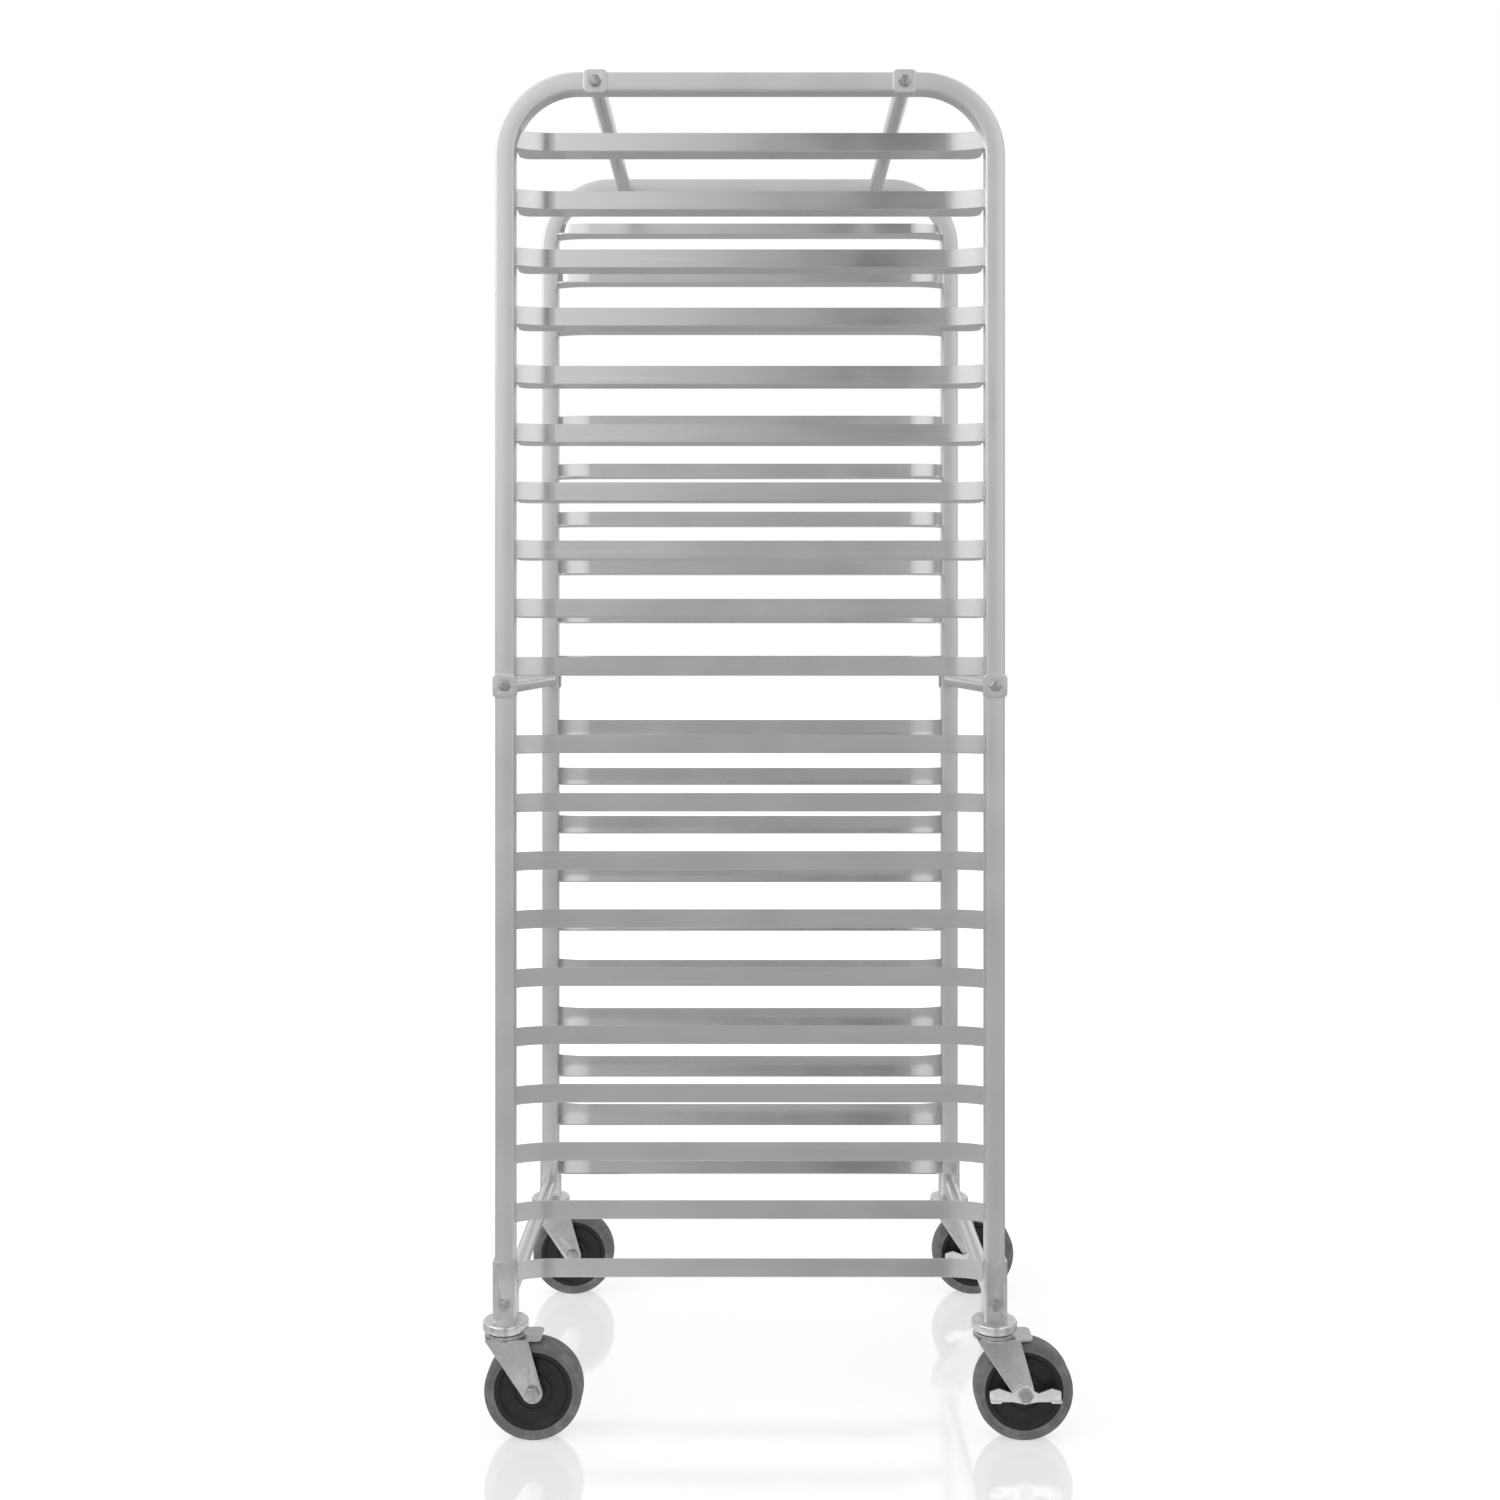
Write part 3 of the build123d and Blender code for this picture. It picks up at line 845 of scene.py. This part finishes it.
# ---- casters -------------------------------------------------------------------------
@dataclass
class Caster:
    """One swivel caster: fork, axle, wheel, and the brake where it has one."""

    place: str
    braked: bool
    wheel_sides: int = 96
    tread_step: float = 0.0008
    wall: Span = (3.2, 4.0)
    seat: Span = (2.0, 2.2)
    shoulder: float = 0.0042
    shoulder_turns: tuple[int, ...] = (0, 22, 45, 68, 90)
    bore: float = 0.0076
    rim_inset: float = 0.0022
    rim_edge: float = 0.0008
    core_round: float = 0.0005
    core_segments: int = 2
    boss: tuple[Ring, ...] = ((0.0128, 0.0), (0.0150, 0.0016))
    web: tuple[Ring, ...] = (
        (0.0156, 0.0106), (0.0230, 0.0098), (0.0238, 0.0112), (0.0262, 0.0112), (0.0270, 0.0098))
    rim_foot: Ring = (0.0085, 0.0102)
    rim_steps: tuple[float, ...] = (0.0060, 0.0052, 0.0004)

    def __post_init__(self) -> None:
        """Read the wheel's size and place from its nodes."""
        low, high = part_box(f"tyre_{self.place}")
        self.hub = (low + high) / 2
        self.radius = (high.z - low.z) / 2
        self.half = (high.y - low.y) / 2
        core_low, core_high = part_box(f"wheel_core_{self.place}")
        self.core_radius = (core_high.z - core_low.z) / 2
        self.hub_half = (core_high.y - core_low.y) / 2

    def build(self, paints: Paintbox) -> None:
        """Build the caster's pieces from the fork down.

        Args:
            paints: The built finishes.
        """
        swivel = f"swivel_{self.place}"
        SoftEdged(f"fork_{self.place}", swivel, FORK_PAINTED_SHADE, width=0.0007).build(paints)
        SoftEdged(f"axle_{self.place}", swivel, BOLT, width=0.0004).build(paints)
        self.build_tyre(paints)
        self.build_core(paints)
        if self.braked:
            lever = f"lever_{self.place}"
            SoftEdged(f"brake_{lever}", lever, LEVER_PAINTED_HIGHLIGHT, width=0.0009).build(paints)
            paints.coat(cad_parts[f"brake_plate_{self.place}"], ZINC)

    def build_tyre(self, paints: Paintbox) -> None:
        """Turn the grey tread: round shoulders, a mould line and a side step."""
        outer, inner = self.radius, self.core_radius
        half, round_ = self.half, self.shoulder
        turns = [math.radians(angle) for angle in self.shoulder_turns]
        arc = [
            (outer - round_ * (1 - math.cos(turn)), half - round_ * (1 - math.sin(turn)))
            for turn in turns
        ]
        side = [
            (outer - self.wall[0] * self.tread_step - round_, half),
            (outer - self.wall[1] * self.tread_step - round_, half - self.tread_step),
            (inner + self.seat[0] * self.tread_step, half - self.tread_step),
            (inner, half - self.seat[1] * self.tread_step),
        ]
        near = arc + side
        away = [(r, -y) for r, y in reversed(near)]
        line = self.tread_step / 3
        steps = near + away + [(outer - line / 2, -line), (outer, 0), (outer - line / 2, line)]
        work = turned(f"tyre_{self.place}_tread", self.hub, steps[0], steps[1:], self.wheel_sides)
        piece = work.done(smooth=50)
        Fitting(f"wheel_{self.place}", RUBBER, (f"tyre_{self.place}",)).fit(piece, paints)

    def build_core(self, paints: Paintbox) -> None:
        """Turn the black core: hub boss, dished web with a raised ring, and rim."""
        rim = self.core_radius
        face = self.half - self.rim_inset
        foot, foot_out = self.rim_foot
        rise, start, end = self.rim_steps
        profile = [
            (self.bore, self.hub_half),
            *((radius, self.hub_half - step) for radius, step in self.boss),
            *self.web,
            (rim - foot, foot_out),
            (rim - rise, face - self.rim_edge),
            (rim - start, face),
            (rim - end, face),
            (rim, face - self.rim_edge),
        ]
        mirrored = [(r, -y) for r, y in reversed(profile)]
        steps = profile + mirrored
        name = f"wheel_core_{self.place}"
        work = turned(f"{name}_moulding", self.hub, steps[0], steps[1:], self.wheel_sides)
        work.round_edges(self.core_round, self.core_segments)
        fitting = Fitting(f"wheel_{self.place}", PLASTIC, (name,))
        fitting.fit(work.done(smooth=35), paints)


# ---- the whole rack ------------------------------------------------------------------
@dataclass
class Rack:
    """The whole rack, sub-assembly by sub-assembly."""

    paints: Paintbox
    braked: tuple[str, ...] = ("near_right", "far_right")
    casters: tuple[str, ...] = ("near_left", "near_right", "far_left", "far_right")
    rows: tuple[str, ...] = ("top", "middle", "bottom")
    weld_out: float = 0.0010
    sides: tuple[str, ...] = ("near", "far")

    def build(self) -> None:
        """Build every sub-assembly in order."""
        frames = [SideFrame(side) for side in self.sides]
        for made in frames:
            made.build(self.paints)
        self.build_runners(frames[0])
        self.build_joints()
        self.build_bearings()
        for place in self.casters:
            Caster(place, place in self.braked).build(self.paints)

    def build_runners(self, side_frame: SideFrame) -> None:
        """Coat each tier's runners and weld them to the legs."""
        leg_inner = side_frame.leg_x - side_frame.tube / 2
        weld_y = abs(side_frame.mid_y) + self.weld_out
        for node in sorted(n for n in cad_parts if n.startswith("runners_tier_")):
            RunnerTier(node).build(self.paints, leg_inner, weld_y)

    def build_joints(self) -> None:
        """Cross tubes with their plugs, saddles, bolts and the leg sockets."""
        for row in self.rows:
            for end in ("left", "right"):
                self.paints.coat(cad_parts[f"cross_tube_{row}_{end}"], CROSS_TUBE)
        self.paints.coat(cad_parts["cross_tube_plugs"], SADDLE)
        SoftEdged("frame_saddles", "frame", SADDLE, width=0.0006).build(self.paints)
        SoftEdged("frame_bolts", "frame", BOLT, width=0.0004).build(self.paints)
        SoftEdged("socket_bolts", "frame", BOLT, width=0.0004).build(self.paints)
        for place in self.casters:
            SoftEdged(f"leg_socket_{place}", "frame", ZINC, width=0.0006).build(self.paints)

    def build_bearings(self) -> None:
        """The fixed upper races, the kingpins and the balls."""
        SoftEdged("swivel_cups", "frame", ZINC, width=0.0006).build(self.paints)
        SoftEdged("kingpins", "frame", BOLT, width=0.0004).build(self.paints)
        self.paints.coat(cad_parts["swivel_balls"], BALL)


# ---- studio --------------------------------------------------------------------------
class Heading(Enum):
    """What a fade follows: a part of the direction, or how far it is from straight on."""

    X = "X"
    Y = "Y"
    Z = "Z"
    WIDE = "wide"


@dataclass(frozen=True)
class Fade:
    """An eased change from one value to another as a heading goes from start to end."""

    heading: Heading
    first: float
    last: float
    start: float
    end: float


AHEAD = Fade(Heading.Y, 1.0, 0.0, -0.30, 0.10)
BEHIND = Fade(Heading.Y, 0.0, 1.0, -0.05, 0.30)


@dataclass(frozen=True)
class Sky:
    """The room's light by direction: bright all round with dimmer panels, white to the eye.

    The front is dim low down and has a dark screen high on its right. Each panel's fades are
    multiplied and added to the full light of 1, and a panel's last fade is below zero.
    """

    name: str = "studio"
    front_width: Fade = Fade(Heading.WIDE, 1.0, 0.0, 0.13, 0.22)
    front_light: Fade = Fade(Heading.Z, 0.36, 0.88, -0.02, 0.22)
    screen: tuple[Fade, ...] = (
        Fade(Heading.X, 0.0, 1.0, -0.08, 0.09),
        Fade(Heading.X, 1.0, 0.0, 0.16, 0.20),
        Fade(Heading.Z, 0.0, 1.0, 0.04, 0.16),
    )
    front_gaps: tuple[Fade, ...] = (
        AHEAD,
        Fade(Heading.WIDE, 0.0, 1.0, 0.66, 0.76),
        Fade(Heading.WIDE, 1.0, 0.0, 0.88, 0.94),
        Fade(Heading.Y, -0.70, 0.0, -0.30, 0.10),
    )
    back_middle: tuple[Fade, ...] = (BEHIND, Fade(Heading.WIDE, -0.30, 0.0, 0.20, 0.42))
    back_right: tuple[Fade, ...] = (
        BEHIND,
        Fade(Heading.X, 0.0, 1.0, 0.42, 0.60),
        Fade(Heading.X, -0.55, 0.0, 0.80, 0.92),
    )
    back_left: tuple[Fade, ...] = (
        BEHIND,
        Fade(Heading.X, 1.0, 0.0, -0.60, -0.42),
        Fade(Heading.X, 0.0, -0.30, -0.92, -0.80),
    )
    ends: tuple[Fade, ...] = (
        Fade(Heading.Z, 1.0, 0.4, 0.10, 0.45),
        Fade(Heading.WIDE, 0.0, -0.45, 0.90, 0.97),
    )

    def build(self) -> bpy.types.World:
        """Wire the light.

        Returns:
            The world.
        """
        world = bpy.data.worlds.new(self.name)
        world.use_nodes = True
        wiring = Wiring(world.node_tree)
        headings = self.headings(wiring)
        room = wiring.combine("ADD", self.front(wiring, headings), 1.0)
        panels = (self.front_gaps, self.back_middle, self.back_right, self.back_left, self.ends)
        for panel in panels:
            room = wiring.sum(room, self.product(wiring, headings, panel))
        looked_at = wiring.node("ShaderNodeLightPath").outputs["Is Camera Ray"]
        back = wiring.node("ShaderNodeBackground")
        back.inputs["Color"].default_value = (1.0, 1.0, 1.0, 1.0)
        wiring.link(wiring.combine("MAXIMUM", room, looked_at), back.inputs["Strength"])
        output = wiring.node("ShaderNodeOutputWorld")
        wiring.link(back.outputs["Background"], output.inputs["Surface"])
        return world

    def headings(self, wiring: Wiring) -> dict[Heading, bpy.types.NodeSocket]:
        """The parts of the direction looked in.

        Args:
            wiring: The world's tree.

        Returns:
            A socket for each heading.
        """
        split = wiring.node("ShaderNodeSeparateXYZ")
        wiring.link(wiring.node("ShaderNodeTexCoord").outputs["Generated"], split.inputs["Vector"])
        parts = (Heading.X, Heading.Y, Heading.Z)
        found = {heading: split.outputs[heading.value] for heading in parts}
        found[Heading.WIDE] = wiring.combine("ABSOLUTE", found[Heading.X], 0.0)
        return found

    def product(self, wiring: Wiring, headings: dict[Heading, bpy.types.NodeSocket],
                fades: Sequence[Fade]) -> bpy.types.NodeSocket:
        """Several fades multiplied together.

        Args:
            wiring: The world's tree.
            headings: A socket for each heading.
            fades: The fades.

        Returns:
            Their product.
        """
        product = None
        for fade in fades:
            value = wiring.spread(headings[fade.heading], fade.first, fade.last,
                                  fade.start, fade.end, smooth=True)
            product = value if product is None else wiring.combine("MULTIPLY", product, value)
        return product

    def front(self, wiring: Wiring,
              headings: dict[Heading, bpy.types.NodeSocket]) -> bpy.types.NodeSocket:
        """How much the front is below full light, as a value from -1 to 0.

        Args:
            wiring: The world's tree.
            headings: A socket for each heading.

        Returns:
            The dimming.
        """
        screen = self.product(wiring, headings, self.screen)
        past_screen = wiring.spread(screen, 1.0, 0.0, 0.0, 1.0, smooth=True)
        light = self.product(wiring, headings, (self.front_light,))
        shade = wiring.combine("MULTIPLY", light, past_screen)
        middle = self.product(wiring, headings, (AHEAD, self.front_width))
        return wiring.combine("MULTIPLY", middle, wiring.combine("SUBTRACT", shade, 1.0))


@dataclass(frozen=True)
class Studio:
    """A pale floor, soft light and the camera."""

    eye_height: float = 1.022
    eye_distance: float = 2.150
    lens: float = 39.9
    shift: float = -0.0667
    floor_size: float = 60.0
    key_place: Point = (-3.2, -1.2, 3.0)
    key_aim: Point = (0.0, 0.0, 0.9)
    key_size: float = 2.4
    key_power: float = 26.0

    def build(self) -> None:
        """Set up the floor, the world, the lamps and the camera."""
        self.build_camera()
        self.build_floor()
        bpy.context.scene.world = Sky().build()
        self.build_lamp()
        bpy.context.scene.view_settings.view_transform = "Standard"

    def build_camera(self) -> None:
        """Stand the camera square on to the long side."""
        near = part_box("side_frame_near")[0].y
        data = bpy.data.cameras.new("camera")
        data.lens = self.lens
        data.shift_y = self.shift
        camera = bpy.data.objects.new("camera", data)
        camera.location = (0, near - self.eye_distance, self.eye_height)
        camera.rotation_euler = (math.pi / 2, 0, 0)
        bpy.context.scene.collection.objects.link(camera)
        bpy.context.scene.camera = camera

    def build_floor(self) -> None:
        """Lay the pale floor."""
        work = Workpiece("floor", lambda: bpy.ops.mesh.primitive_plane_add(size=self.floor_size))
        floor = work.done()
        floor.data.materials.append(PaleFloor().build())

    def build_lamp(self) -> None:
        """Hang one soft lamp that faces the rack."""
        data = bpy.data.lights.new("key", "AREA")
        data.energy = self.key_power
        data.size = self.key_size
        lamp = bpy.data.objects.new("key", data)
        lamp.location = self.key_place
        facing = Vector(self.key_aim) - Vector(self.key_place)
        lamp.rotation_euler = facing.to_track_quat("-Z", "Y").to_euler()
        bpy.context.scene.collection.objects.link(lamp)


def main() -> None:
    """Build the rack and the studio."""
    logging.basicConfig(level=logging.INFO, format="%(name)s: %(message)s")
    aluminium = (TUBE, RUNNER, CROSS_TUBE, SADDLE, WELD)
    steel = (ZINC, FORK_PAINTED_SHADE, LEVER_PAINTED_HIGHLIGHT, BOLT, BALL)
    Rack(Paintbox((*aluminium, *steel, PLASTIC, RUBBER))).build()
    Studio().build()


if __name__ == "__main__":
    main()
